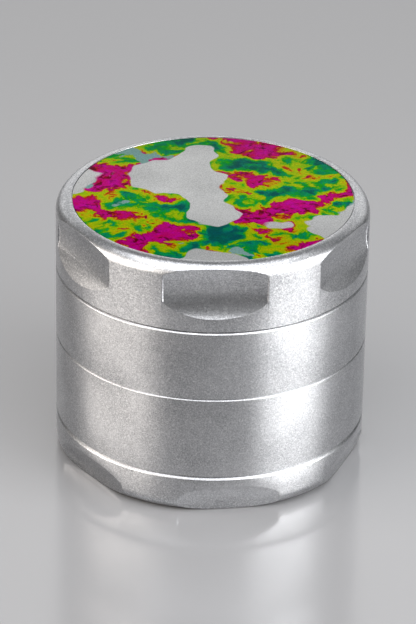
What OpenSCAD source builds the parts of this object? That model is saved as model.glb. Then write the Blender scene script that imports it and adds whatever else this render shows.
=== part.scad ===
// Four-part herb grinder: lid, grinding chamber, sieve chamber and catcher, screwed and stacked
// on one axis. Millimetres. The origin is the centre of the underside and +Z runs up to the lid.

/* [Body] */
// Outside diameter of all four parts
body_d = 63; // [63:0.5:66]
// Height of the catcher
catcher_h = 8.5; // [8.5:0.1:12]
// Height of the sieve chamber's outer wall
sieve_h = 17.5; // [16:0.5:24]
// Height of the grinding chamber's outer wall
chamber_h = 14.7; // [14.7:0.1:18]
// Height of the lid
lid_h = 14.3; // [14.3:0.1:18]

/* [Edges] */
// Radius of the lid's rounded shoulder
shoulder_r = 2.9; // [1.5:0.1:3]
// Radius round the catcher's underside
foot_r = 2.9; // [1.5:0.1:3]
// Wide chamfer at the top of the catcher
catcher_chamfer = 0.8; // [0.3:0.1:0.9]
// Narrow chamfer at the other seams
seam_chamfer = 0.35; // [0.2:0.05:0.5]

/* [Grips] */
// Number of finger grips milled round the lid and round the catcher
grip_count = 6; // [4:1:8]
// Radius of the cutter that mills a grip
grip_r = 9; // [8:0.5:12]
// Depth of a grip at its middle
grip_depth = 2.2; // [1:0.1:2.3]
// Length of a grip round the body
grip_l = 20.6; // [14:0.1:21]
// Radius in the corners at both ends of a grip
grip_corner = 0.3; // [0.1:0.1:1.2]
// Height of a lid grip's middle above the lid's lower edge
lid_grip_z = 9; // [8.5:0.1:9.5]
// Height of a catcher grip's middle above the underside
catcher_grip_z = 0.4; // [0:0.1:0.5]
// Turn of the lid's grips round the axis, in degrees
lid_grip_turn = 1.5; // [-30:0.5:30]
// Turn of the catcher's grips round the axis, in degrees
catcher_grip_turn = 8; // [-30:0.5:30]

/* [Threads] */
// Rise of the screw threads in one turn
pitch = 1.5; // [1.4:0.1:1.6]
// Turns of ridge on each threaded part
thread_turns = 1.6; // [1:0.1:1.6]
// Length of the threaded spigots
spigot_l = 4.4; // [4.4:0.1:4.8]

/* [Teeth] */
// Length of a tooth's cross-section along its ring
tooth_l = 4.4; // [3:0.1:4.4]
// Width of a tooth's cross-section across its ring
tooth_w = 3; // [2:0.1:3]
// Height of the grinding chamber's teeth
chamber_tooth_h = 12.1; // [8:0.1:12.1]
// Length of the lid's teeth
lid_tooth_l = 15.5; // [10:0.1:15.5]
// Diameter of the drop holes
hole_d = 3.6; // [2.5:0.1:3.6]

/* [Hidden] */

$fn = 96;
body_r = body_d / 2;

// Heights of the three seams and the top
catcher_top = catcher_h;
sieve_top = catcher_top + sieve_h;
chamber_top = sieve_top + chamber_h;
body_h = chamber_top + lid_h;

// Threaded joints, all of one size
bore_r = 28.5;
spigot_r = bore_r - 0.65;
spigot_in_r = 25.6;
ridge_h = 0.5;
ridge_base = 0.7;
ridge_crest = 0.3;
ridge_sink = 0.3;
thread_steps = 48;
thread_fade = 8;
spigot_gap = 0.5;
thread_start = 0.7;

// Seals in a neck at the root of each spigot
seal_d = 0.9;
neck_r = 27.6;
seal_r = neck_r + 0.1 + seal_d / 2;
seal_bore_r = seal_r + seal_d / 2 + 0.15;
neck_h = 1.1;

// Catcher
catcher_floor = 2;
bowl_r = 24.9;
bowl_round = 1.5;

// Sieve chamber, with its screen clamped up against a seat
sieve_r = 26.6;
sieve_round = 4;
seat_z = catcher_top + 0.9;
seat_in_r = 24.3;
seat_h = 1.2;
screen_r = spigot_in_r - 0.1;
screen_t = 0.4;
ring_h = 2.4;

// Grinding chamber
chamber_r = 26.2;
chamber_floor = chamber_top - 10.2;
floor_t = 2.9;
lip_r = 28.3;
lip_h = 4.5;
under_round = 2;

// Ring of slippery plastic between the grinding chamber and the lid
flange_t = 0.25;
flange_r = 30.7;
sleeve_in_r = lip_r + 0.1;
sleeve_r = 29.2;
sleeve_h = 3.6;

// Lid
lid_bottom = chamber_top + flange_t;
lid_bore_r = sleeve_r + 0.1;
lid_bore_top = chamber_top + lip_h + 0.4;
lid_r = 27;
ceiling = body_h - 4.5;
ceiling_round = 1.5;
inlay_r = 28.15;
inlay_t = 0.3;
recess_r = inlay_r + 0.15;
recess_h = 0.35;

// Centre posts and their magnets
post_r = 5.2;
magnet_r = 4;
magnet_h = 3;
magnet_gap = 0.4;
chamber_post_top = chamber_top + 0.1;
lid_post_bottom = chamber_post_top + magnet_gap;

// Rings of teeth and holes: [radius, number]
chamber_rings = [[8.6, 6], [16, 12], [23.6, 18]];
lid_rings = [[12, 8], [19.8, 15]];
drop_holes = [[12, 14], [19.8, 24]];

silver = [0.78, 0.79, 0.80];

// Region outside a rounded corner whose sharp point is at the origin
module round_corner(r) {
    difference() {
        translate([-r, -r]) square(r + 1);
        translate([-r, -r]) circle(r);
    }
}

// Region outside a chamfered corner whose sharp point is at the origin
module bevel_corner(c) {
    polygon([[-c, 0], [0, -c], [1, -c], [1, 1], [-c, 1]]);
}

// Half-section of a round cavity from z1 up to z2, with its bottom corner rounded
module cavity(r, z1, z2, round_r) {
    difference() {
        translate([0, z1]) square([r, z2 - z1]);
        translate([r, z1]) mirror([0, 1]) round_corner(round_r);
    }
}

// Half-section of a plain ring
module ring_section(r1, r2, z1, z2) {
    translate([r1, z1]) square([r2 - r1, z2 - z1]);
}

// Helical ridge on a wall of radius r, its height h outwards or, below zero, inwards
module thread_ridge(r, h, z0) {
    steps = round(thread_turns * thread_steps);
    side = sign(h);
    rise = [for (i = [0:steps]) min(1, 1.4 * min(i, steps - i) / thread_fade - 0.4)];
    points = [for (i = [0:steps], p = [[-ridge_sink, -ridge_base], [ridge_h * rise[i], -ridge_crest],
            [ridge_h * rise[i], ridge_crest], [-ridge_sink, ridge_base]])
        let (a = 360 * i / thread_steps, q = r + side * p.x)
        [q * cos(a), q * sin(a), z0 + pitch * i / thread_steps + p.y / 2]];
    sides = [for (i = [0:steps - 1], j = [0:3])
        [4 * i + j, 4 * i + (j + 1) % 4, 4 * i + 4 + (j + 1) % 4, 4 * i + 4 + j]];
    ends = [[3, 2, 1, 0], [for (j = [0:3]) 4 * steps + j]];
    faces = concat(sides, ends);
    polyhedron(points, side > 0 ? faces : [for (f = faces) [for (k = [3:-1:0]) f[k]]]);
}

// Ridge on a spigot that hangs below the height top
module male_thread(top) {
    thread_ridge(spigot_r, ridge_h, top - spigot_l + thread_start);
}

// Ridge in a bore whose mouth is at the height top, half a pitch from the spigot's
module female_thread(top) {
    thread_ridge(bore_r, -ridge_h, top - spigot_l + thread_start - pitch / 2);
}

// Half-section removed for a threaded bore with its seal's wider mouth
module bore_section(top) {
    ring_section(0, bore_r, top - spigot_l - spigot_gap, top + 1);
    ring_section(0, seal_bore_r, top - neck_h, top + 1);
}

// Half-section of a spigot, with the neck that holds its seal
module spigot_section(top) {
    ring_section(spigot_in_r, spigot_r, top - spigot_l, top);
}

// Groove of the neck
module neck_section(top) {
    ring_section(neck_r, bore_r, top - neck_h, top);
}

// Cutters for the finger grips, at the height z and turned round the axis
module grips(z, turn) {
    for (i = [0:grip_count - 1])
        rotate(turn + 360 * i / grip_count - 90)
            translate([body_r - grip_depth + grip_r, 0, z])
                rotate([90, 0, 0]) rotate_extrude() difference() {
                    translate([0, -grip_l / 2]) square([grip_r, grip_l]);
                    translate([grip_r, grip_l / 2]) round_corner(grip_corner);
                    translate([grip_r, -grip_l / 2]) mirror([0, 1]) round_corner(grip_corner);
                }
}

// Centre post from z up to z + h, with a blind bore for its magnet from magnet_z up
module post(z, h, magnet_z) {
    difference() {
        translate([0, 0, z]) cylinder(r = post_r, h = h);
        translate([0, 0, magnet_z]) cylinder(r = magnet_r, h = magnet_h);
    }
}

// Ring of diamond teeth standing from z up to z + h
module tooth_ring(radius, number, z, h) {
    for (i = [0:number - 1])
        rotate(360 * (i + 0.5) / number) translate([radius, 0, z]) linear_extrude(h)
            polygon([[-tooth_w / 2, 0], [0, -tooth_l / 2], [tooth_w / 2, 0], [0, tooth_l / 2]]);
}

module kief_catcher() {
    color(silver) {
        difference() {
            rotate_extrude() difference() {
                ring_section(0, body_r, 0, catcher_top);
                cavity(bowl_r, catcher_floor, catcher_top + 1, bowl_round);
                bore_section(catcher_top);
                translate([body_r, catcher_top]) bevel_corner(catcher_chamfer);
                translate([body_r, 0]) mirror([0, 1]) round_corner(foot_r);
            }
            grips(catcher_grip_z, catcher_grip_turn);
        }
        female_thread(catcher_top);
    }
}

module scraper() {
    color([0.12, 0.12, 0.13]) translate([2, -3, catcher_floor]) linear_extrude(1) hull() {
        translate([-9, 0]) circle(5, $fn = 32);
        translate([8, 6]) circle(3, $fn = 32);
        translate([8, -6]) circle(3, $fn = 32);
    }
}

module thread_seal(top) {
    rotate_extrude() translate([seal_r, top - neck_h / 2]) circle(seal_d / 2);
}

module lower_thread_seal() {
    color([0.08, 0.08, 0.08]) thread_seal(catcher_top);
}

module sieve_chamber() {
    color(silver) {
        rotate_extrude() difference() {
            union() {
                ring_section(0, body_r, catcher_top, sieve_top);
                spigot_section(catcher_top);
            }
            ring_section(0, spigot_in_r, catcher_top - spigot_l, seat_z);
            ring_section(0, seat_in_r, catcher_top - spigot_l, seat_z + seat_h + 1);
            cavity(sieve_r, seat_z + seat_h, sieve_top + 1, sieve_round);
            bore_section(sieve_top);
            neck_section(catcher_top);
            translate([body_r, sieve_top]) bevel_corner(seam_chamfer);
            translate([body_r, catcher_top]) mirror([0, 1]) bevel_corner(seam_chamfer / 2);
        }
        male_thread(catcher_top);
        female_thread(sieve_top);
    }
}

module sieve_screen() {
    color([0.6, 0.6, 0.58]) translate([0, 0, seat_z - screen_t]) cylinder(r = screen_r, h = screen_t);
}

module screen_ring() {
    color([0.7, 0.7, 0.7]) rotate_extrude()
        ring_section(seat_in_r, screen_r, seat_z - screen_t - ring_h, seat_z - screen_t);
}

module upper_thread_seal() {
    color([0.08, 0.08, 0.08]) thread_seal(sieve_top);
}

module grinding_chamber() {
    color(silver) {
        difference() {
            rotate_extrude() difference() {
                union() {
                    ring_section(0, body_r, sieve_top, chamber_top);
                    ring_section(0, lip_r, chamber_top - 1, chamber_top + lip_h);
                    spigot_section(sieve_top);
                }
                mirror([0, 1]) cavity(spigot_in_r - 0.2, floor_t - chamber_floor,
                    spigot_l - sieve_top + 1, under_round);
                ring_section(0, chamber_r, chamber_floor, chamber_top + lip_h + 1);
                neck_section(sieve_top);
                translate([lip_r, chamber_top + lip_h]) bevel_corner(seam_chamfer);
                translate([body_r, chamber_top]) bevel_corner(seam_chamfer);
                translate([body_r, sieve_top]) mirror([0, 1]) bevel_corner(seam_chamfer / 2);
            }
            for (d = drop_holes, i = [0:d[1] - 1])
                rotate(360 * i / d[1]) translate([d[0], 0, chamber_floor - floor_t - 1])
                    cylinder(d = hole_d, h = floor_t + 2, $fn = 32);
        }
        male_thread(sieve_top);
    }
}

module chamber_teeth() {
    color(silver) {
        for (t = chamber_rings) tooth_ring(t[0], t[1], chamber_floor, chamber_tooth_h);
        post(chamber_floor, chamber_post_top - chamber_floor, chamber_post_top - magnet_h);
    }
}

module magnet(z) {
    translate([0, 0, z]) cylinder(r = magnet_r - 0.02, h = magnet_h);
}

module chamber_magnet() {
    color([0.72, 0.73, 0.75]) magnet(chamber_post_top - magnet_h);
}

module friction_ring() {
    color([0.93, 0.93, 0.9]) rotate_extrude() {
        ring_section(sleeve_in_r, flange_r, chamber_top, lid_bottom);
        ring_section(sleeve_in_r, sleeve_r, chamber_top, chamber_top + sleeve_h);
    }
}

module lid() {
    color(silver) difference() {
        rotate_extrude() difference() {
            ring_section(0, body_r, lid_bottom, body_h);
            ring_section(0, lid_bore_r, lid_bottom - 1, lid_bore_top);
            mirror([0, 1]) cavity(lid_r, -ceiling, -lid_bottom, ceiling_round);
            ring_section(0, recess_r, body_h - recess_h, body_h + 1);
            translate([body_r, body_h]) round_corner(shoulder_r);
            translate([body_r, lid_bottom]) mirror([0, 1]) bevel_corner(seam_chamfer / 2);
        }
        grips(chamber_top + lid_grip_z, lid_grip_turn);
    }
}

module lid_teeth() {
    color(silver) {
        for (t = lid_rings) tooth_ring(t[0], t[1], ceiling - lid_tooth_l, lid_tooth_l);
        post(lid_post_bottom, ceiling - lid_post_bottom, lid_post_bottom);
    }
}

module lid_magnet() {
    color([0.72, 0.73, 0.75]) magnet(lid_post_bottom);
}

module lid_inlay() {
    color([0.55, 0.65, 0.15]) translate([0, 0, body_h - recess_h]) cylinder(r = inlay_r, h = inlay_t);
}

kief_catcher();
scraper();
lower_thread_seal();
sieve_chamber();
sieve_screen();
screen_ring();
upper_thread_seal();
grinding_chamber();
chamber_teeth();
chamber_magnet();
friction_ring();
lid();
lid_teeth();
lid_magnet();
lid_inlay();
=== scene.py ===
import math

import bmesh
import bpy
from mathutils import Matrix, Vector


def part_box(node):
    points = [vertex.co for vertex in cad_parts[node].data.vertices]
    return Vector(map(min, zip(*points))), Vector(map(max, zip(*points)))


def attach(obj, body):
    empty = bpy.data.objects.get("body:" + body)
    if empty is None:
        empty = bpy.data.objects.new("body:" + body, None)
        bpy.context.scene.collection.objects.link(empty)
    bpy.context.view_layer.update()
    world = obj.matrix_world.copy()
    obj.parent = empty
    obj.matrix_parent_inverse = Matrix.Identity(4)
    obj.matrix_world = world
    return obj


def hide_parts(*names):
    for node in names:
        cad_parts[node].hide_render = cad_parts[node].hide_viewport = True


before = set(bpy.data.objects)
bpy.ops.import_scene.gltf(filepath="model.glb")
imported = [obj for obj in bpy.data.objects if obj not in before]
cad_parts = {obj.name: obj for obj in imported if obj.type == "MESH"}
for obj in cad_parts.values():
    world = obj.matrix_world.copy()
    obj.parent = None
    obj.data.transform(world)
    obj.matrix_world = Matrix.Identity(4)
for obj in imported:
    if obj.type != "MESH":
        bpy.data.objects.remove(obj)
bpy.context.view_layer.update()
print("frame loaded:", len(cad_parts), "CAD nodes")

mm = 0.001
near = {"point": 1e-4, "cut": 0.002, "ring": 0.02}  # how close counts as touching, in millimetres


def boxOf(node):
    # the two far corners of a CAD node, in millimetres
    low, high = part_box(node)
    return low / mm, high / mm


# heights and radii that the pieces share come from the frame
bodyR = boxOf("lid")[1].x
catcherTop = boxOf("kief_catcher")[1].z
sieveTop = boxOf("sieve_chamber")[1].z
chamberTop = boxOf("friction_ring")[0].z
lipTop = boxOf("grinding_chamber")[1].z
lidTop = boxOf("lid")[1].z
inlayR = boxOf("lid_inlay")[1].x
screenTop = boxOf("sieve_screen")[1].z


# the camera looks down from the front at a point on the axis; roll turns the picture, left and up slide it
view = {"distance": 714.8, "height": 27, "elevation": 27.86, "lens": 202.6, "sensor": 36, "roll": 1.04,
        "left": 0.64, "up": 1.75, "nearest": 0.01, "farthest": 20}


def makeCamera():
    tilt = math.radians(view["elevation"])
    forward = Vector((0, math.cos(tilt), -math.sin(tilt)))
    right = Vector((1, 0, 0))
    upward = right.cross(forward)
    target = Vector((0, 0, view["height"]))
    place = target - forward * view["distance"]
    aim = target - right * view["left"] + upward * view["up"]
    turn = (aim - place).to_track_quat("-Z", "Y").to_matrix().to_4x4()
    roll = Matrix.Rotation(math.radians(view["roll"]), 4, "Z")
    camera = bpy.data.objects.new("camera", bpy.data.cameras.new("camera"))
    bpy.context.scene.collection.objects.link(camera)
    camera.matrix_world = Matrix.Translation(place * mm) @ turn @ roll
    camera.data.lens = view["lens"]
    camera.data.sensor_width = view["sensor"]
    camera.data.clip_start = view["nearest"]
    camera.data.clip_end = view["farthest"]
    bpy.context.scene.camera = camera


makeCamera()
print("camera set")


# meshes are shaped in millimetres and become metres in addPiece

def vertsIn(geometry):
    return [g for g in geometry if isinstance(g, bmesh.types.BMVert)]


def isLevel(edge):
    # both ends are at the same height
    return abs(edge.verts[0].co.z - edge.verts[1].co.z) < near["point"]


def bevelEdges(bm, edges, width, segments, clamp=False):
    bmesh.ops.bevel(bm, geom=edges, offset=width, offset_type="OFFSET", segments=segments, profile=0.5,
                    affect="EDGES", material=-1, clamp_overlap=clamp)


def lathe(outline, steps=256):
    # outline is a list of (radius, height) corners; it starts and ends on the axis, or it closes on itself
    bm = bmesh.new()
    corners = [bm.verts.new((r, 0, z)) for r, z in outline]
    onAxis = outline[0][0] == 0
    pairs = zip(corners, corners[1:]) if onAxis else zip(corners, corners[1:] + corners[:1])
    edges = [bm.edges.new(pair) for pair in pairs]
    bmesh.ops.spin(bm, geom=corners + edges, cent=(0, 0, 0), axis=(0, 0, 1), angle=math.tau, steps=steps,
                   use_merge=True)
    bmesh.ops.remove_doubles(bm, verts=bm.verts, dist=near["point"])
    bmesh.ops.recalc_face_normals(bm, faces=bm.faces)
    return bm


def ringEdges(bm, radius, height):
    def onRing(v):
        return abs(v.co.z - height) < near["ring"] and abs(math.hypot(v.co.x, v.co.y) - radius) < near["ring"]
    return [e for e in bm.edges if onRing(e.verts[0]) and onRing(e.verts[1])]


def roundRings(bm, rings):
    # each ring is (radius, height, bevel width, segments)
    for radius, height, width, segments in rings:
        edges = ringEdges(bm, radius, height)
        if not edges:
            raise ValueError(f"no ring of edges at radius {radius}, height {height}")
        bevelEdges(bm, edges, width, segments)


def arc(centreR, centreZ, radius, start, end, count):
    # points of an arc in the turning plane, angles in degrees from the outward direction
    angles = [math.radians(start + (end - start) * i / count) for i in range(count + 1)]
    return [(centreR + radius * math.cos(a), centreZ + radius * math.sin(a)) for a in angles]


def raiseOutline(bm, height):
    # pulls a flat face up into a closed block
    made = bmesh.ops.extrude_face_region(bm, geom=bm.faces[:])["geom"]
    bmesh.ops.translate(bm, verts=vertsIn(made), vec=(0, 0, height))
    bmesh.ops.recalc_face_normals(bm, faces=bm.faces)


def toObject(bm, name):
    # the two empty material slots keep apart the faces of the two shapes that are combined
    mesh = bpy.data.meshes.new(name)
    mesh.materials.append(None)
    mesh.materials.append(None)
    bm.to_mesh(mesh)
    bm.free()
    thing = bpy.data.objects.new(name, mesh)
    bpy.context.scene.collection.objects.link(thing)
    return thing


def combine(bm, other, operation):
    # joins or cuts one closed shape with another; faces that come from the other keep material index 1
    for face in other.faces:
        face.material_index = 1
    base = toObject(bm, "base")
    tool = toObject(other, "tool")
    step = base.modifiers.new("step", "BOOLEAN")
    step.object = tool
    step.operation = operation
    step.solver = "EXACT"
    depsgraph = bpy.context.evaluated_depsgraph_get()
    made = bmesh.new()
    made.from_mesh(base.evaluated_get(depsgraph).to_mesh())
    for thing in (base, tool):
        mesh = thing.data
        bpy.data.objects.remove(thing)
        bpy.data.meshes.remove(mesh)
    return made


def softenSeam(bm, width, segments=2):
    # rounds the edges where two combined shapes meet, then forgets which face came from which
    bmesh.ops.remove_doubles(bm, verts=bm.verts, dist=near["ring"])
    seam = [e for e in bm.edges if len(e.link_faces) == 2
            and e.link_faces[0].material_index != e.link_faces[1].material_index]
    bevelEdges(bm, seam, width, segments, clamp=True)
    for face in bm.faces:
        face.material_index = 0


def plainSeam(bm):
    # tidies the points along a seam that stays sharp
    bmesh.ops.remove_doubles(bm, verts=bm.verts, dist=near["cut"])
    for face in bm.faces:
        face.material_index = 0


def duplicateRound(bm, count, turn=0):
    # repeats everything in the mesh round the axis, then turns it all by turn, in degrees
    first = bm.verts[:] + bm.edges[:] + bm.faces[:]
    for i in range(1, count):
        made = bmesh.ops.duplicate(bm, geom=first)["geom"]
        step = Matrix.Rotation(math.tau * i / count, 3, "Z")
        bmesh.ops.rotate(bm, verts=vertsIn(made), cent=(0, 0, 0), matrix=step)
    bmesh.ops.rotate(bm, verts=bm.verts, cent=(0, 0, 0), matrix=Matrix.Rotation(math.radians(turn), 3, "Z"))


def addPiece(bm, name, nodes, body, material, sharp=32):
    # the finished piece, smooth except where it turns by more than sharp degrees, riding on its CAD body
    bmesh.ops.scale(bm, vec=(mm, mm, mm), verts=bm.verts)
    mesh = bpy.data.meshes.new(name)
    bm.to_mesh(mesh)
    bm.free()
    for face in mesh.polygons:
        face.use_smooth = True
    mesh.set_sharp_from_angle(angle=math.radians(sharp))
    mesh.materials.append(material)
    piece = bpy.data.objects.new(name, mesh)
    bpy.context.scene.collection.objects.link(piece)
    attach(piece, body)
    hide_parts(*nodes)
    print("made", name, len(mesh.polygons), "faces")
    return piece


# short ways to write shader nodes; patterns are sized per metre, and bump depths are in metres

def addNode(tree, kind, links=None, **settings):
    # links is {input name or number: a value, or the socket that feeds it}
    node = tree.nodes.new(kind)
    for key, value in settings.items():
        setattr(node, key, value)
    for key, value in (links or {}).items():
        if isinstance(value, bpy.types.NodeSocket):
            tree.links.new(value, node.inputs[key])
        else:
            node.inputs[key].default_value = value
    return node


def mathNode(tree, operation, first, second=0.0, clamp=False):
    node = addNode(tree, "ShaderNodeMath", {0: first, 1: second}, operation=operation, use_clamp=clamp)
    return node.outputs[0]


def vectorNode(tree, operation, links):
    return addNode(tree, "ShaderNodeVectorMath", links, operation=operation).outputs[0]


def mixColors(tree, factor, first, second):
    # inputs 6 and 7 of a Mix node are its two colours, and output 2 is the mixed one
    node = addNode(tree, "ShaderNodeMix", {"Factor": factor, 6: first, 7: second}, data_type="RGBA")
    return node.outputs[2]


def objectPlace(tree):
    return addNode(tree, "ShaderNodeTexCoord").outputs["Object"]


def noiseNode(tree, place, scale, detail, roughness=0.5):
    return addNode(tree, "ShaderNodeTexNoise", {"Vector": place, "Scale": scale, "Detail": detail,
                                                "Roughness": roughness})


def mapRange(tree, value, source, target=(0.0, 1.0)):
    # carries the source range over to the target range, and stops at its ends
    return addNode(tree, "ShaderNodeMapRange", {"Value": value, "From Min": source[0], "From Max": source[1],
                                                "To Min": target[0], "To Max": target[1]}).outputs[0]


def newGroup(name, inputs, outputs):
    group = bpy.data.node_groups.new(name, "ShaderNodeTree")
    for socketName, kind, value in inputs:
        socket = group.interface.new_socket(name=socketName, in_out="INPUT", socket_type=kind)
        socket.default_value = value
    for socketName, kind in outputs:
        group.interface.new_socket(name=socketName, in_out="OUTPUT", socket_type=kind)
    return group, group.nodes.new("NodeGroupInput"), group.nodes.new("NodeGroupOutput")


def useGroup(tree, group, **values):
    node = tree.nodes.new("ShaderNodeGroup")
    node.node_tree = group
    for key, value in values.items():
        node.inputs[key].default_value = value
    return node


def startMaterial(name):
    material = bpy.data.materials.new(name)
    material.use_nodes = True
    tree = material.node_tree
    tree.nodes.clear()
    shader = tree.nodes.new("ShaderNodeBsdfPrincipled")
    output = tree.nodes.new("ShaderNodeOutputMaterial")
    tree.links.new(shader.outputs["BSDF"], output.inputs["Surface"])
    return material, tree, shader


def feedBump(tree, shader, height, strength, distance):
    bump = addNode(tree, "ShaderNodeBump", {"Height": height, "Strength": strength, "Distance": distance})
    tree.links.new(bump.outputs["Normal"], shader.inputs["Normal"])


# fine dimples and coarser dents make the bump, clouds vary tone and gloss, and the brightest cells glint
beads = {"dimpleDetail": 3.0, "dimpleRough": 0.6, "dentSize": 0.28, "dentDetail": 2.0, "cloudScale": 90.0,
         "cloudDetail": 3.0, "dimpleTone": 0.7, "cloudTone": 0.3, "tone": (0.36, 0.6), "glint": (0.6, 1.0),
         "glossSwing": -4.0, "dimpleHeight": 0.55, "dentHeight": 0.45}


def makeBlastGroup():
    group, source, sink = newGroup("beadBlast", [
        ("Grain", "NodeSocketFloat", 4000.0), ("Sparkle", "NodeSocketFloat", 0.2),
        ("Roughness", "NodeSocketFloat", 0.38), ("Spread", "NodeSocketFloat", 0.1),
        ("Metal", "NodeSocketColor", (0.8, 0.8, 0.8, 1)), ("Shade", "NodeSocketColor", (0.6, 0.6, 0.6, 1))],
        [("Color", "NodeSocketColor"), ("Roughness", "NodeSocketFloat"), ("Height", "NodeSocketFloat")])
    place = objectPlace(group)
    grain = source.outputs["Grain"]
    dimples = noiseNode(group, place, grain, beads["dimpleDetail"], beads["dimpleRough"]).outputs["Fac"]
    dentScale = mathNode(group, "MULTIPLY", grain, beads["dentSize"])
    dents = noiseNode(group, place, dentScale, beads["dentDetail"]).outputs["Fac"]
    clouds = noiseNode(group, place, beads["cloudScale"], beads["cloudDetail"]).outputs["Fac"]
    mottle = mathNode(group, "ADD", mathNode(group, "MULTIPLY", dimples, beads["dimpleTone"]),
                      mathNode(group, "MULTIPLY", clouds, beads["cloudTone"]))
    tone = mapRange(group, mottle, beads["tone"])
    base = mixColors(group, tone, source.outputs["Shade"], source.outputs["Metal"])
    cells = addNode(group, "ShaderNodeTexVoronoi", {"Vector": place, "Scale": grain}, feature="F1")
    chance = addNode(group, "ShaderNodeSeparateColor", {"Color": cells.outputs["Color"]}).outputs[0]
    glints = mathNode(group, "MULTIPLY", mapRange(group, chance, beads["glint"]), source.outputs["Sparkle"])
    color = mixColors(group, glints, base, (1.0, 1.0, 1.0, 1))
    reach = mathNode(group, "MULTIPLY", source.outputs["Spread"], beads["glossSwing"])
    swing = mathNode(group, "MULTIPLY", mathNode(group, "SUBTRACT", mottle, 0.5), reach)
    gloss = mathNode(group, "ADD", source.outputs["Roughness"], swing, clamp=True)
    height = mathNode(group, "ADD", mathNode(group, "MULTIPLY", dimples, beads["dimpleHeight"]),
                      mathNode(group, "MULTIPLY", dents, beads["dentHeight"]))
    group.links.new(color, sink.inputs["Color"])
    group.links.new(gloss, sink.inputs["Roughness"])
    group.links.new(height, sink.inputs["Height"])
    return group


# rings that a lathe tool leaves: an even wave that wanders a little, and uneven strips
latheMarks = {"waver": 0.4, "wanderScale": 120.0, "wanderDetail": 2.0, "stripScale": 9000.0,
              "stripDetail": 2.0, "waveShare": 0.2}


def makeTurningGroup():
    group, source, sink = newGroup("turningMarks", [
        ("Pitch", "NodeSocketFloat", 0.00012), ("Waver", "NodeSocketFloat", 0.4)],
        [("Height", "NodeSocketFloat"), ("Mask", "NodeSocketFloat")])
    place = objectPlace(group)
    parts = addNode(group, "ShaderNodeSeparateXYZ", {"Vector": place}).outputs
    square = mathNode(group, "ADD", mathNode(group, "MULTIPLY", parts["X"], parts["X"]),
                      mathNode(group, "MULTIPLY", parts["Y"], parts["Y"]))
    along = mathNode(group, "ADD", mathNode(group, "SQRT", square), parts["Z"])
    turns = mathNode(group, "DIVIDE", along, source.outputs["Pitch"])
    wander = noiseNode(group, place, latheMarks["wanderScale"], latheMarks["wanderDetail"]).outputs["Fac"]
    wobble = mathNode(group, "MULTIPLY", wander, source.outputs["Waver"])
    angle = mathNode(group, "MULTIPLY", mathNode(group, "ADD", turns, wobble), math.tau)
    wave = mathNode(group, "SINE", angle)
    stripPlace = mathNode(group, "MULTIPLY", along, latheMarks["stripScale"])
    stripNoise = {"W": stripPlace, "Scale": 1.0, "Detail": latheMarks["stripDetail"]}
    strips = addNode(group, "ShaderNodeTexNoise", stripNoise, noise_dimensions="1D").outputs["Fac"]
    height = mathNode(group, "ADD", mathNode(group, "MULTIPLY", wave, latheMarks["waveShare"]), strips)
    group.links.new(height, sink.inputs["Height"])
    group.links.new(strips, sink.inputs["Mask"])
    return group


beadBlast = makeBlastGroup()
turningMarks = makeTurningGroup()


blastLook = {"metal": (0.62, 0.625, 0.64, 1), "shade": (0.28, 0.285, 0.3, 1), "rough": 0.35, "spread": 0.12,
             "bump": 0.6}


def blastedAluminium(name, grain, sparkle, bumpDepth):
    material, tree, shader = startMaterial(name)
    blast = useGroup(tree, beadBlast, Grain=grain, Sparkle=sparkle, Roughness=blastLook["rough"],
                     Spread=blastLook["spread"], Metal=blastLook["metal"], Shade=blastLook["shade"])
    tree.links.new(blast.outputs["Color"], shader.inputs["Base Color"])
    tree.links.new(blast.outputs["Roughness"], shader.inputs["Roughness"])
    shader.inputs["Metallic"].default_value = 1.0
    feedBump(tree, shader, blast.outputs["Height"], blastLook["bump"], bumpDepth)
    return material


lidMetal = blastedAluminium("lidBlastedAluminium", grain=3900.0, sparkle=0.4, bumpDepth=0.00006)
bodyMetal = blastedAluminium("bodyBlastedAluminium", grain=4800.0, sparkle=0.35, bumpDepth=0.00004)


turnedLook = {"darker": 0.86, "gloss": (0.8, 1.3), "bump": 0.4}


def turnedMetal(name, color, roughness, pitch, bumpDepth):
    material, tree, shader = startMaterial(name)
    marks = useGroup(tree, turningMarks, Pitch=pitch, Waver=latheMarks["waver"])
    dark = tuple(c * turnedLook["darker"] for c in color[:3]) + (1,)
    tree.links.new(mixColors(tree, marks.outputs["Mask"], dark, color), shader.inputs["Base Color"])
    gloss = mapRange(tree, marks.outputs["Mask"], (0.0, 1.0), [roughness * g for g in turnedLook["gloss"]])
    tree.links.new(gloss, shader.inputs["Roughness"])
    shader.inputs["Metallic"].default_value = 1.0
    feedBump(tree, shader, marks.outputs["Height"], turnedLook["bump"], bumpDepth)
    return material


nickelPlate = turnedMetal("nickelPlate", (0.78, 0.77, 0.74, 1),
                          roughness=0.14, pitch=0.0004, bumpDepth=0.000004)
clampSteel = turnedMetal("clampSteel", (0.62, 0.62, 0.62, 1),
                         roughness=0.28, pitch=0.0002, bumpDepth=0.00001)


moulded = {"grainDetail": 4.0, "grainRough": 0.65, "cloudSize": 0.05, "cloudDetail": 2.0,
           "gloss": (0.85, 1.2), "bump": 0.5}


def mouldedMaterial(name, color, other, roughness, scale, bumpDepth):
    # plain plastic or rubber with a fine grain, and clouds of a second tone
    material, tree, shader = startMaterial(name)
    place = objectPlace(tree)
    grain = noiseNode(tree, place, scale, moulded["grainDetail"], moulded["grainRough"]).outputs["Fac"]
    cloud = noiseNode(tree, place, scale * moulded["cloudSize"], moulded["cloudDetail"]).outputs["Fac"]
    tree.links.new(mixColors(tree, cloud, color, other), shader.inputs["Base Color"])
    gloss = mapRange(tree, grain, (0.0, 1.0), [roughness * g for g in moulded["gloss"]])
    tree.links.new(gloss, shader.inputs["Roughness"])
    feedBump(tree, shader, grain, moulded["bump"], bumpDepth)
    return material


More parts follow.
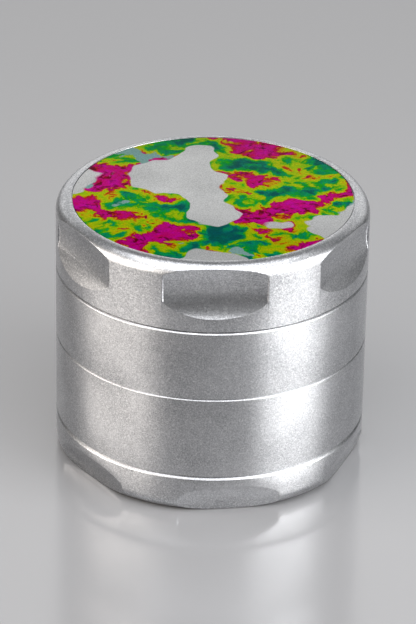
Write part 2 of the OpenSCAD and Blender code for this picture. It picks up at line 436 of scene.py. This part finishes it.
sealRubber = mouldedMaterial("sealRubber", (0.018, 0.018, 0.019, 1), (0.03, 0.03, 0.031, 1),
                             roughness=0.5, scale=6000.0, bumpDepth=0.00001)
slipPlastic = mouldedMaterial("slipPlastic", (0.82, 0.81, 0.76, 1), (0.88, 0.87, 0.84, 1),
                              roughness=0.42, scale=3000.0, bumpDepth=0.00001)
pickPlastic = mouldedMaterial("pickPlastic", (0.02, 0.021, 0.024, 1), (0.03, 0.031, 0.034, 1),
                              roughness=0.45, scale=5000.0, bumpDepth=0.00002)


wireLook = {"dark": (0.42, 0.41, 0.39, 1), "light": (0.68, 0.67, 0.64, 1), "scale": 2500.0, "detail": 2.0,
            "rough": 0.3, "bump": 0.3, "bumpDepth": 0.00001}


def wireSteel():
    material, tree, shader = startMaterial("wireSteel")
    draw = noiseNode(tree, objectPlace(tree), wireLook["scale"], wireLook["detail"]).outputs["Fac"]
    tree.links.new(mixColors(tree, draw, wireLook["dark"], wireLook["light"]), shader.inputs["Base Color"])
    shader.inputs["Metallic"].default_value = 1.0
    shader.inputs["Roughness"].default_value = wireLook["rough"]
    feedBump(tree, shader, draw, wireLook["bump"], wireLook["bumpDepth"])
    return material


screenWire = wireSteel()


# the marbled print: every patch comes from noise. shift moves a layer of it, scale sets how many patches
# there are, swing how far the colour runs, and above is the level from which a patch shows
marble = {
    "level": 0.53, "roughness": 0.62, "warpRoughness": 0.6, "red": (0.68, 0.74),
    "drift": {"scale": 110.0, "amount": 0.007, "detail": 2.0},
    "ragged": {"scale": 520.0, "amount": 0.0026, "detail": 4.0},
    "broad": {"shift": (0.36, 0.75, 0.32), "scale": 88.0, "detail": 2.5, "swing": 2.9},
    "fine": {"shift": (0.56, 0.9, 0.1), "scale": 230.0, "detail": 7.0, "swing": 1.5},
    "bare": {"shift": (0.06, 0.23, 0.77), "scale": 40.0, "detail": 1.5, "above": 0.54, "edge": 0.006},
    "teal": {"shift": (0.62, 0.24, 0.33), "scale": 105.0, "detail": 1.5, "above": 0.64, "edge": 0.01},
    "blots": {"shift": (0.5, 0.5, 0.0), "scale": 620.0, "detail": 5.0, "above": 0.53, "edge": 0.09},
}


def warpedPlace(tree, place, warp):
    # pushes the place about by noise, so that what is drawn on it gets ragged
    noise = noiseNode(tree, place, warp["scale"], warp["detail"], marble["warpRoughness"]).outputs["Color"]
    centred = vectorNode(tree, "SUBTRACT", {0: noise, 1: (0.5, 0.5, 0.5)})
    push = vectorNode(tree, "SCALE", {0: centred, "Scale": warp["amount"]})
    return vectorNode(tree, "ADD", {0: place, 1: push})


def noiseLayer(tree, place, layer):
    moved = addNode(tree, "ShaderNodeMapping", {"Vector": place, "Location": layer["shift"]}).outputs[0]
    return noiseNode(tree, moved, layer["scale"], layer["detail"], marble["roughness"]).outputs["Fac"]


def swungLayer(tree, place, layer):
    # pulls the colour both ways from the level
    centred = mathNode(tree, "SUBTRACT", noiseLayer(tree, place, layer), 0.5)
    return mathNode(tree, "MULTIPLY", centred, layer["swing"])


def patchLayer(tree, place, layer):
    # 1 inside the patches and 0 outside, over a narrow edge
    return mapRange(tree, noiseLayer(tree, place, layer), (layer["above"], layer["above"] + layer["edge"]))


def makeMarbleGroup():
    group, _, sink = newGroup("marbleSwirl", [], [("Value", "NodeSocketFloat"), ("Bare", "NodeSocketFloat"),
                                                  ("Teal", "NodeSocketFloat"), ("Maroon", "NodeSocketFloat")])
    flat = vectorNode(group, "MULTIPLY", {0: objectPlace(group), 1: (1, 1, 0)})
    drift = warpedPlace(group, flat, marble["drift"])
    ragged = warpedPlace(group, drift, marble["ragged"])
    swing = mathNode(group, "ADD", swungLayer(group, ragged, marble["broad"]),
                     swungLayer(group, ragged, marble["fine"]))
    value = mathNode(group, "ADD", swing, marble["level"])
    # dark blots gather only where the print is red
    maroon = mathNode(group, "MULTIPLY", patchLayer(group, drift, marble["blots"]),
                      mapRange(group, value, marble["red"]))
    group.links.new(value, sink.inputs["Value"])
    group.links.new(patchLayer(group, drift, marble["bare"]), sink.inputs["Bare"])
    group.links.new(patchLayer(group, ragged, marble["teal"]), sink.inputs["Teal"])
    group.links.new(maroon, sink.inputs["Maroon"])
    return group


# colours along the marble's value, from the deep greens through lime to magenta
printColors = [
    (0.00, (0.00, 0.12, 0.11)), (0.14, (0.00, 0.16, 0.12)), (0.22, (0.00, 0.28, 0.12)),
    (0.32, (0.00, 0.36, 0.05)), (0.38, (0.10, 0.42, 0.02)), (0.42, (0.30, 0.53, 0.00)),
    (0.56, (0.46, 0.56, 0.00)), (0.62, (0.58, 0.47, 0.01)), (0.655, (0.52, 0.14, 0.01)),
    (0.70, (0.46, 0.01, 0.02)), (0.74, (0.56, 0.00, 0.19)), (1.00, (0.60, 0.00, 0.27)),
]
printSpots = {"teal": (0.26, 0.43, 0.41, 1), "maroon": (0.16, 0.0, 0.02, 1)}
printLook = {
    "flecks": {"scale": 3000.0, "detail": 3.0, "roughness": 0.7, "source": (0.35, 0.65),
               "target": (0.72, 1.12)},
    "hues": {"scale": 420.0, "detail": 4.0, "roughness": 0.65, "source": (0.3, 0.7),
             "target": (0.46, 0.54)},
    "saturation": 1.05, "metallic": (0.88, 1.0), "specular": 0.25, "glancing": (0.3, 0.3, 0.3, 1),
    "bareMetal": (0.78, 0.785, 0.78, 1), "bareShade": (0.5, 0.505, 0.5, 1), "grain": 4200.0, "sparkle": 0.25,
    "rough": 0.42, "spread": 0.1, "bump": 0.3, "bumpDepth": 0.00004,
}


def fillRamp(ramp, colors):
    stops = ramp.color_ramp.elements
    stops[0].position, stops[0].color = colors[0][0], colors[0][1] + (1,)
    stops[1].position, stops[1].color = colors[-1][0], colors[-1][1] + (1,)
    for position, color in colors[1:-1]:
        stops.new(position).color = color + (1,)


def variation(tree, place, look):
    noise = noiseNode(tree, place, look["scale"], look["detail"], look["roughness"]).outputs["Fac"]
    return mapRange(tree, noise, look["source"], look["target"])


def marbledPrint():
    material, tree, shader = startMaterial("marbledPrint")
    swirl = useGroup(tree, makeMarbleGroup())
    ramp = addNode(tree, "ShaderNodeValToRGB", {"Fac": swirl.outputs["Value"]})
    fillRamp(ramp, printColors)
    blotted = mixColors(tree, swirl.outputs["Maroon"], ramp.outputs["Color"], printSpots["maroon"])
    patched = mixColors(tree, swirl.outputs["Teal"], blotted, printSpots["teal"])
    place = objectPlace(tree)
    hue = variation(tree, place, printLook["hues"])
    flecks = variation(tree, place, printLook["flecks"])
    inked = addNode(tree, "ShaderNodeHueSaturation", {"Color": patched, "Hue": hue, "Value": flecks,
                                                      "Saturation": printLook["saturation"]}).outputs["Color"]
    blast = useGroup(tree, beadBlast, Grain=printLook["grain"], Sparkle=printLook["sparkle"],
                     Roughness=printLook["rough"], Spread=printLook["spread"], Metal=printLook["bareMetal"],
                     Shade=printLook["bareShade"])
    bare = swirl.outputs["Bare"]
    tree.links.new(mixColors(tree, bare, inked, blast.outputs["Color"]), shader.inputs["Base Color"])
    tree.links.new(blast.outputs["Roughness"], shader.inputs["Roughness"])
    tree.links.new(mapRange(tree, bare, (0.0, 1.0), printLook["metallic"]), shader.inputs["Metallic"])
    shader.inputs["Specular IOR Level"].default_value = printLook["specular"]
    shader.inputs["Specular Tint"].default_value = printLook["glancing"]
    feedBump(tree, shader, blast.outputs["Height"], printLook["bump"], printLook["bumpDepth"])
    return material


inlayPrint = marbledPrint()
print("materials made")


# both screwed joints are alike: a ridge in a bore and on a spigot, with a neck for the seal above the spigot
threads = {"bore": 28.5, "spigot": 27.85, "inner": 25.6, "length": 4.4, "slack": 0.5, "neck": 27.6,
           "neckHeight": 1.1, "mouth": 28.75, "pitch": 1.5, "turns": 1.6, "ridge": 0.5, "base": 0.7,
           "crest": 0.3, "sink": 0.3, "first": 0.7, "steps": 96, "fade": 16, "dive": 0.4}


def threadRidge(radius, side, z0):
    # a trapezium screwed round the axis, diving into its wall at both ends; side is 1 outwards and -1 inwards
    bm = bmesh.new()
    outline = [(-threads["sink"], -threads["base"] / 2), (threads["ridge"], -threads["crest"] / 2),
               (threads["ridge"], threads["crest"] / 2), (-threads["sink"], threads["base"] / 2)]
    corners = [bm.verts.new((radius + side * r, 0, z0 + z)) for r, z in outline]
    edges = [bm.edges.new(pair) for pair in zip(corners, corners[1:] + corners[:1])]
    steps = round(threads["turns"] * threads["steps"])
    sweep = math.tau * threads["turns"]
    bmesh.ops.spin(bm, geom=corners + edges, cent=(0, 0, 0), axis=(0, 0, 1), angle=sweep, steps=steps,
                   dvec=(0, 0, threads["pitch"] / threads["steps"]))
    for v in bm.verts:
        reach = (math.hypot(v.co.x, v.co.y) - radius) * side
        if reach > 0:
            step = (v.co.z - z0) / threads["pitch"] * threads["steps"]
            fromEnd = min(max(step, 0), max(steps - step, 0)) / threads["fade"]
            rise = min(1, (1 + threads["dive"]) * fromEnd - threads["dive"])
            scale = (radius + side * reach * rise) / math.hypot(v.co.x, v.co.y)
            v.co.x *= scale
            v.co.y *= scale
    bmesh.ops.holes_fill(bm, edges=[e for e in bm.edges if e.is_boundary])
    bmesh.ops.recalc_face_normals(bm, faces=bm.faces)
    return bm


def addThreads(bm, male=None, female=None):
    # ridges on a spigot below the height male, and in a bore whose mouth is at the height female
    start = threads["first"] - threads["length"]
    if male is not None:
        bm = combine(bm, threadRidge(threads["spigot"], 1, male + start), "UNION")
        plainSeam(bm)
    if female is not None:
        bm = combine(bm, threadRidge(threads["bore"], -1, female + start - threads["pitch"] / 2), "UNION")
        plainSeam(bm)
    return bm


grips = {"count": 6, "radius": 9.0, "depth": 2.2, "length": 20.6, "steps": 120, "corner": 0.3,
         "cornerSteps": 6, "soft": 0.12}


def gripCutter(height, turn):
    # short fat rods lying round the body, each as deep in the wall as a finger grip
    bm = bmesh.new()
    bmesh.ops.create_cone(bm, cap_ends=True, segments=grips["steps"], radius1=grips["radius"],
                          radius2=grips["radius"], depth=grips["length"])
    bevelEdges(bm, [e for e in bm.edges if isLevel(e)], grips["corner"], grips["cornerSteps"])
    bmesh.ops.rotate(bm, verts=bm.verts, cent=(0, 0, 0), matrix=Matrix.Rotation(math.pi / 2, 3, "Y"))
    away = bodyR - grips["depth"] + grips["radius"]
    bmesh.ops.translate(bm, verts=bm.verts, vec=(0, -away, height))
    duplicateRound(bm, grips["count"], turn)
    bmesh.ops.recalc_face_normals(bm, faces=bm.faces)
    return bm


teeth = {"length": 4.4, "width": 3.0, "sink": 0.5, "edge": 0.18, "tip": 0.25}


def toothRing(radius, count, foot, tip):
    # diamond teeth from the height foot to the height tip, edges taken off, repeated round the axis
    bm = bmesh.new()
    long, wide = teeth["length"] / 2, teeth["width"] / 2
    diamond = ((-wide, 0), (0, -long), (wide, 0), (0, long))
    bm.faces.new([bm.verts.new((radius + x, y, foot)) for x, y in diamond])
    raiseOutline(bm, tip - foot)
    bevelEdges(bm, [e for e in bm.edges if not isLevel(e)], teeth["edge"], 2)
    rim = [e for e in bm.edges if isLevel(e) and abs(e.verts[0].co.z - tip) < near["point"]]
    bevelEdges(bm, rim, teeth["tip"], 2, clamp=True)
    duplicateRound(bm, count, 180 / count)
    return bm


catcher = {"floor": 2.0, "bowl": 24.9, "bowlRound": 1.5, "foot": 2.9, "chamfer": 0.8, "chamferEdge": 0.12,
           "mouthEdge": 0.1, "ledgeEdge": 0.25, "gripHeight": 0.4, "gripTurn": 8}


def makeCatcher():
    ledge = catcherTop - threads["length"] - threads["slack"]
    mouthFloor = catcherTop - threads["neckHeight"]
    c = catcher["chamfer"]
    bm = lathe([(0, 0), (bodyR, 0), (bodyR, catcherTop - c), (bodyR - c, catcherTop),
                (threads["mouth"], catcherTop), (threads["mouth"], mouthFloor), (threads["bore"], mouthFloor),
                (threads["bore"], ledge), (catcher["bowl"], ledge), (catcher["bowl"], catcher["floor"]),
                (0, catcher["floor"])])
    roundRings(bm, [(bodyR, 0, catcher["foot"], 12), (bodyR, catcherTop - c, catcher["chamferEdge"], 2),
                    (bodyR - c, catcherTop, catcher["chamferEdge"], 2),
                    (threads["mouth"], catcherTop, catcher["mouthEdge"], 2),
                    (catcher["bowl"], ledge, catcher["ledgeEdge"], 3),
                    (catcher["bowl"], catcher["floor"], catcher["bowlRound"], 8)])
    bm = combine(bm, gripCutter(catcher["gripHeight"], catcher["gripTurn"]), "DIFFERENCE")
    softenSeam(bm, grips["soft"])
    bm = addThreads(bm, female=catcherTop)
    return addPiece(bm, "catcherBowl", ["kief_catcher"], "catcher", bodyMetal)


pick = {"nose": 5.0, "heel": 3.0, "steps": 12, "rim": 0.3, "rimSteps": 4}


def makePick():
    # a scraper: one big round nose and two smaller round heels, joined by straight sides, with a softened rim
    low, high = boxOf("scraper")
    nose, heel = pick["nose"], pick["heel"]
    middle = (low.y + high.y) / 2
    along = (high.x - heel) - (low.x + nose)
    across = (high.y - heel) - middle
    # which way a long side faces, as it touches both the nose and a heel
    facing = math.atan2(across, along) + math.acos((nose - heel) / math.hypot(along, across))
    bm = bmesh.new()
    ends = []
    for x, y, r, start, end in ((high.x - heel, high.y - heel, heel, 0, facing),
                                (low.x + nose, middle, nose, facing, math.tau - facing),
                                (high.x - heel, low.y + heel, heel, math.tau - facing, math.tau)):
        first = bm.verts.new((x + r * math.cos(start), y + r * math.sin(start), low.z))
        swept = bmesh.ops.spin(bm, geom=[first], cent=(x, y, low.z), axis=(0, 0, 1), angle=end - start,
                               steps=pick["steps"])["geom_last"]
        ends.append((first, swept[0]))
    for (_, last), (first, _) in zip(ends, ends[1:] + ends[:1]):
        bm.edges.new((last, first))
    bmesh.ops.contextual_create(bm, geom=bm.edges[:])
    raiseOutline(bm, high.z - low.z)
    bevelEdges(bm, [e for e in bm.edges if isLevel(e)], pick["rim"], pick["rimSteps"])
    return addPiece(bm, "scraperPick", ["scraper"], "catcher", pickPlastic)


seal = {"sides": 20, "steps": 192}


def makeSeal(name, node, body):
    # an O-ring: a round section swept round the axis
    low, high = boxOf(node)
    radius = (high.z - low.z) / 2
    bm = bmesh.new()
    section = bmesh.ops.create_circle(bm, segments=seal["sides"], radius=radius)["verts"]
    bmesh.ops.rotate(bm, verts=section, cent=(0, 0, 0), matrix=Matrix.Rotation(math.pi / 2, 3, "X"))
    bmesh.ops.translate(bm, verts=section, vec=(high.x - radius, 0, low.z + radius))
    bmesh.ops.spin(bm, geom=bm.verts[:] + bm.edges[:], cent=(0, 0, 0), axis=(0, 0, 1), angle=math.tau,
                   steps=seal["steps"], use_merge=True)
    bmesh.ops.recalc_face_normals(bm, faces=bm.faces)
    return addPiece(bm, name, [node], body, sealRubber)


sieve = {"inner": 26.6, "round": 4.0, "seat": 24.3, "seatHeight": 1.2, "chamfer": 0.35, "chamferEdge": 0.08,
         "mouthEdge": 0.1, "spigotEdge": 0.15, "ledgeEdge": 0.25}


def makeSieveChamber():
    seatTop = screenTop + sieve["seatHeight"]
    ledge = sieveTop - threads["length"] - threads["slack"]
    bottom = catcherTop - threads["length"]
    mouthFloor = sieveTop - threads["neckHeight"]
    neckFloor = catcherTop - threads["neckHeight"]
    c = sieve["chamfer"]
    reach = sieve["inner"] - sieve["round"]
    edge = math.degrees(math.acos((sieve["seat"] - reach) / sieve["round"]))
    bowl = arc(reach, seatTop + sieve["round"], sieve["round"], 0, -edge, 8)
    bm = lathe([(sieve["seat"], screenTop), (threads["inner"], screenTop), (threads["inner"], bottom),
                (threads["spigot"], bottom), (threads["spigot"], neckFloor), (threads["neck"], neckFloor),
                (threads["neck"], catcherTop), (bodyR - c / 2, catcherTop), (bodyR, catcherTop + c / 2),
                (bodyR, sieveTop - c), (bodyR - c, sieveTop), (threads["mouth"], sieveTop),
                (threads["mouth"], mouthFloor), (threads["bore"], mouthFloor), (threads["bore"], ledge),
                (sieve["inner"], ledge)] + bowl)
    roundRings(bm, [(bodyR, sieveTop - c, sieve["chamferEdge"], 2),
                    (bodyR - c, sieveTop, sieve["chamferEdge"], 2),
                    (threads["mouth"], sieveTop, sieve["mouthEdge"], 2),
                    (threads["spigot"], bottom, sieve["spigotEdge"], 2),
                    (threads["inner"], bottom, sieve["mouthEdge"], 2),
                    (sieve["inner"], ledge, sieve["ledgeEdge"], 3)])
    bm = addThreads(bm, male=catcherTop, female=sieveTop)
    return addPiece(bm, "sieveBody", ["sieve_chamber"], "sieve", bodyMetal)


screen = {"pitch": 0.8, "wire": 0.13, "sides": 6, "bend": 0.62, "sharp": 70}


def wavyWire(crossings, sign, wave):
    # a wire along X that goes over and under at every crossing, ends left open
    bm = bmesh.new()
    ring = bmesh.ops.create_circle(bm, segments=screen["sides"], radius=screen["wire"] / 2)["verts"]
    bmesh.ops.rotate(bm, verts=ring, cent=(0, 0, 0), matrix=Matrix.Rotation(math.pi / 2, 3, "Y"))
    bmesh.ops.translate(bm, verts=ring, vec=(-crossings * screen["pitch"], 0, sign * wave))
    edges = bm.edges[:]
    for _ in range(2 * crossings):
        made = bmesh.ops.extrude_edge_only(bm, edges=edges)["geom"]
        edges = [g for g in made if isinstance(g, bmesh.types.BMEdge)]
        sign = -sign
        bmesh.ops.translate(bm, verts=vertsIn(made), vec=(screen["pitch"], 0, 2 * sign * wave))
    return bm


def addWire(whole, wire):
    # closes a wire's ends and puts it with the others
    bmesh.ops.holes_fill(wire, edges=[e for e in wire.edges if e.is_boundary])
    bmesh.ops.recalc_face_normals(wire, faces=wire.faces)
    strand = bpy.data.meshes.new("strand")
    wire.to_mesh(strand)
    wire.free()
    whole.from_mesh(strand)
    bpy.data.meshes.remove(strand)


def makeScreen():
    # wires are laid side by side across the disc, then the same at right angles, out of step with the first
    low, high = boxOf("sieve_screen")
    height = (low.z + high.z) / 2
    half = high.x - screen["wire"]
    count = int(half / screen["pitch"])
    wave = screen["wire"] * screen["bend"]
    whole = bmesh.new()
    for across in (0, 1):
        quarter = Matrix.Rotation(across * math.pi / 2, 3, "Z")
        for row in range(-count, count + 1):
            side = row * screen["pitch"]
            crossings = int(math.sqrt(half * half - side * side) / screen["pitch"])
            if not crossings:
                continue
            wire = wavyWire(crossings, 1 if (row + crossings + across) % 2 else -1, wave)
            bmesh.ops.translate(wire, verts=wire.verts, vec=(0, side, height))
            bmesh.ops.rotate(wire, verts=wire.verts, cent=(0, 0, 0), matrix=quarter)
            addWire(whole, wire)
    return addPiece(whole, "wireScreen", ["sieve_screen"], "sieve", screenWire,
                    screen["sharp"])


clamp = {"inner": 24.3, "edge": 0.2}


def makeClampRing():
    low, high = boxOf("screen_ring")
    bm = lathe([(clamp["inner"], low.z), (high.x, low.z), (high.x, high.z), (clamp["inner"], high.z)])
    roundRings(bm, [(r, z, clamp["edge"], 3) for r in (clamp["inner"], high.x) for z in (low.z, high.z)])
    return addPiece(bm, "clampRing", ["screen_ring"], "sieve", clampSteel)


# rings of teeth and holes are (radius, number)
chamber = {"inner": 26.2, "innerEdge": 0.6, "floorDrop": 10.2, "floorThick": 2.9, "lip": 28.3,
           "lipEdge": 0.35, "under": 25.4, "underRound": 2.0, "underEdge": 0.2, "chamfer": 0.35,
           "chamferEdge": 0.08, "spigotEdge": 0.15, "toothHeight": 12.1,
           "rings": [(8.6, 6), (16, 12), (23.6, 18)], "holes": [(12, 14), (19.8, 24)],
           "holeSize": 3.6, "holeSteps": 32, "drillPast": 2}
posts = {"radius": 5.2, "edge": 0.3, "magnet": 4.0, "magnetHeight": 3.0, "magnetEdge": 0.25,
         "magnetSteps": 96, "gap": 0.4, "chamberTop": 0.1}


def drillRing(radius, count, middle):
    bm = bmesh.new()
    size = chamber["holeSize"] / 2
    depth = chamber["floorThick"] + chamber["drillPast"]
    drill = bmesh.ops.create_cone(bm, cap_ends=True, segments=chamber["holeSteps"], radius1=size,
                                  radius2=size, depth=depth)["verts"]
    bmesh.ops.translate(bm, verts=drill, vec=(radius, 0, middle))
    duplicateRound(bm, count)
    return bm


def makeGrindingChamber():
    floor = chamberTop - chamber["floorDrop"]
    under = floor - chamber["floorThick"]
    bottom = sieveTop - threads["length"]
    neckFloor = sieveTop - threads["neckHeight"]
    postTop = chamberTop + posts["chamberTop"]
    pocket = postTop - posts["magnetHeight"]
    c = chamber["chamfer"]
    bm = lathe([(0, pocket), (posts["magnet"], pocket), (posts["magnet"], postTop),
                (posts["radius"], postTop), (posts["radius"], floor), (chamber["inner"], floor),
                (chamber["inner"], lipTop),
                (chamber["lip"], lipTop), (chamber["lip"], chamberTop), (bodyR - c, chamberTop),
                (bodyR, chamberTop - c), (bodyR, sieveTop + c / 2), (bodyR - c / 2, sieveTop),
                (threads["neck"], sieveTop), (threads["neck"], neckFloor), (threads["spigot"], neckFloor),
                (threads["spigot"], bottom), (chamber["under"], bottom), (chamber["under"], under),
                (0, under)])
    roundRings(bm, [(posts["radius"], postTop, posts["edge"], 3),
                    (chamber["inner"], floor, chamber["innerEdge"], 4),
                    (chamber["inner"], lipTop, posts["edge"], 3),
                    (chamber["lip"], lipTop, chamber["lipEdge"], 3),
                    (bodyR - c, chamberTop, chamber["chamferEdge"], 2),
                    (bodyR, chamberTop - c, chamber["chamferEdge"], 2),
                    (threads["spigot"], bottom, chamber["spigotEdge"], 2),
                    (chamber["under"], bottom, chamber["underEdge"], 2),
                    (chamber["under"], under, chamber["underRound"], 6)])
    for radius, count in chamber["rings"]:
        ring = toothRing(radius, count, floor - teeth["sink"], floor + chamber["toothHeight"])
        bm = combine(bm, ring, "UNION")
        plainSeam(bm)
    bm = addThreads(bm, male=sieveTop)
    for radius, count in chamber["holes"]:
        bm = combine(bm, drillRing(radius, count, (floor + under) / 2), "DIFFERENCE")
        plainSeam(bm)
    return addPiece(bm, "grinderBody", ["grinding_chamber", "chamber_teeth"], "chamber", bodyMetal)


def makeMagnet(name, node, body):
    low, high = boxOf(node)
    bm = lathe([(0, low.z), (high.x, low.z), (high.x, high.z), (0, high.z)], posts["magnetSteps"])
    roundRings(bm, [(high.x, z, posts["magnetEdge"], 3) for z in (low.z, high.z)])
    return addPiece(bm, name, [node], body, nickelPlate)


slip = {"clear": 0.1, "sleeve": 29.2, "flange": 0.25, "edge": 0.2, "flangeEdge": 0.08}


def makeSlipRing():
    # a sleeve round the chamber's lip, with a thin flange under the lid
    low, high = boxOf("friction_ring")
    inner, sleeve, flangeTop = chamber["lip"] + slip["clear"], slip["sleeve"], low.z + slip["flange"]
    bm = lathe([(inner, low.z), (high.x, low.z), (high.x, flangeTop), (sleeve, flangeTop), (sleeve, high.z),
                (inner, high.z)])
    roundRings(bm, [(sleeve, high.z, slip["edge"], 3), (inner, high.z, slip["edge"], 3),
                    (high.x, flangeTop, slip["flangeEdge"], 2)])
    return addPiece(bm, "slipRing", ["friction_ring"], "slip_ring", slipPlastic)


lid = {"gap": 0.25, "bore": 29.3, "boreTop": 4.9, "boreEdge": 0.15, "inner": 27.0, "innerEdge": 0.2,
       "top": 4.5, "ceilingRound": 1.5, "shoulder": 2.9, "chamfer": 0.35, "recess": 0.35, "recessGap": 0.15,
       "recessEdge": 0.1, "gripHeight": 9.0, "gripTurn": 1.5, "toothLength": 15.5,
       "rings": [(12, 8), (19.8, 15)], "steps": 360, "printEdge": 0.08}


def makeLid():
    bottom = chamberTop + lid["gap"]
    ceiling = lidTop - lid["top"]
    boreTop = chamberTop + lid["boreTop"]
    postBottom = chamberTop + posts["chamberTop"] + posts["gap"]
    pocket = postBottom + posts["magnetHeight"]
    recess = inlayR + lid["recessGap"]
    recessFloor = lidTop - lid["recess"]
    c = lid["chamfer"] / 2
    bm = lathe([(0, pocket), (posts["magnet"], pocket), (posts["magnet"], postBottom),
                (posts["radius"], postBottom), (posts["radius"], ceiling), (lid["inner"], ceiling),
                (lid["inner"], boreTop), (lid["bore"], boreTop), (lid["bore"], bottom), (bodyR - c, bottom),
                (bodyR, bottom + c), (bodyR, lidTop), (recess, lidTop), (recess, recessFloor),
                (0, recessFloor)], lid["steps"])
    roundRings(bm, [(bodyR, lidTop, lid["shoulder"], 16), (recess, lidTop, lid["recessEdge"], 2),
                    (posts["radius"], postBottom, posts["edge"], 3),
                    (lid["inner"], ceiling, lid["ceilingRound"], 6),
                    (lid["inner"], boreTop, lid["innerEdge"], 2), (lid["bore"], bottom, lid["boreEdge"], 2)])
    bm = combine(bm, gripCutter(chamberTop + lid["gripHeight"], lid["gripTurn"]), "DIFFERENCE")
    softenSeam(bm, grips["soft"])
    for radius, count in lid["rings"]:
        ring = toothRing(radius, count, 0, lid["toothLength"] + teeth["sink"])
        bmesh.ops.rotate(ring, verts=ring.verts, cent=(0, 0, 0), matrix=Matrix.Rotation(math.pi, 3, "X"))
        bmesh.ops.translate(ring, verts=ring.verts, vec=(0, 0, ceiling + teeth["sink"]))
        bm = combine(bm, ring, "UNION")
        plainSeam(bm)
    return addPiece(bm, "lidShell", ["lid", "lid_teeth"], "lid", lidMetal)


def makeInlay():
    low, high = boxOf("lid_inlay")
    bm = lathe([(0, low.z), (high.x, low.z), (high.x, high.z), (0, high.z)], lid["steps"])
    roundRings(bm, [(high.x, high.z, lid["printEdge"], 2)])
    return addPiece(bm, "lidPrint", ["lid_inlay"], "lid", inlayPrint)


makeCatcher()
makePick()
makeSeal("sealLower", "lower_thread_seal", "lower_seal")
makeSieveChamber()
makeScreen()
makeClampRing()
makeSeal("sealUpper", "upper_thread_seal", "upper_seal")
makeGrindingChamber()
makeMagnet("magnetLower", "chamber_magnet", "chamber")
makeSlipRing()
makeLid()
makeMagnet("magnetUpper", "lid_magnet", "lid")
makeInlay()
print("pieces made")


# the floor reaches floorHalf metres each way and lies just below the underside
studio = {"floor": (0.25, 0.25, 0.255, 1), "floorGloss": 0.15, "floorSheen": 0.8, "floorHalf": 3,
          "floorHeight": -0.00005, "world": (0.5, 0.52, 0.55, 1), "worldStrength": 0.1, "aimHeight": 30}

# name, place in millimetres, size in millimetres, watts, colour
lamps = [
    ("softLeft", (-340, -140, 150), (400, 200), 1.4, (1.0, 0.93, 0.86)),
    ("softRight", (330, -190, 150), (300, 240), 2.2, (1.0, 1.0, 1.0)),
    ("softTop", (0, -130, 400), (560, 440), 2.5, (0.97, 0.98, 1.0)),
    ("softBack", (0, 400, 190), (760, 300), 0.75, (1.0, 1.0, 1.0)),
]


def makeFloor():
    material, _, shader = startMaterial("paleFloor")
    shader.inputs["Base Color"].default_value = studio["floor"]
    shader.inputs["Roughness"].default_value = studio["floorGloss"]
    shader.inputs["Specular IOR Level"].default_value = studio["floorSheen"]
    bm = bmesh.new()
    bmesh.ops.create_grid(bm, x_segments=1, y_segments=1, size=studio["floorHalf"])
    mesh = bpy.data.meshes.new("floor")
    bm.to_mesh(mesh)
    bm.free()
    mesh.materials.append(material)
    floor = bpy.data.objects.new("floor", mesh)
    floor.location.z = studio["floorHeight"]
    bpy.context.scene.collection.objects.link(floor)


def makeWorld():
    world = bpy.data.worlds.new("studio")
    world.use_nodes = True
    background = world.node_tree.nodes["Background"]
    background.inputs["Color"].default_value = studio["world"]
    background.inputs["Strength"].default_value = studio["worldStrength"]
    bpy.context.scene.world = world


def makeLights():
    for name, place, size, power, color in lamps:
        light = bpy.data.lights.new(name, "AREA")
        light.shape = "RECTANGLE"
        light.size, light.size_y = size[0] * mm, size[1] * mm
        light.energy = power
        light.color = color
        lamp = bpy.data.objects.new(name, light)
        lamp.location = Vector(place) * mm
        aim = Vector((0, 0, studio["aimHeight"])) - Vector(place)
        lamp.rotation_euler = aim.to_track_quat("-Z", "Y").to_euler()
        bpy.context.scene.collection.objects.link(lamp)


makeFloor()
makeWorld()
makeLights()
bpy.context.scene.view_settings.view_transform = "Standard"
print("floor and lights set")
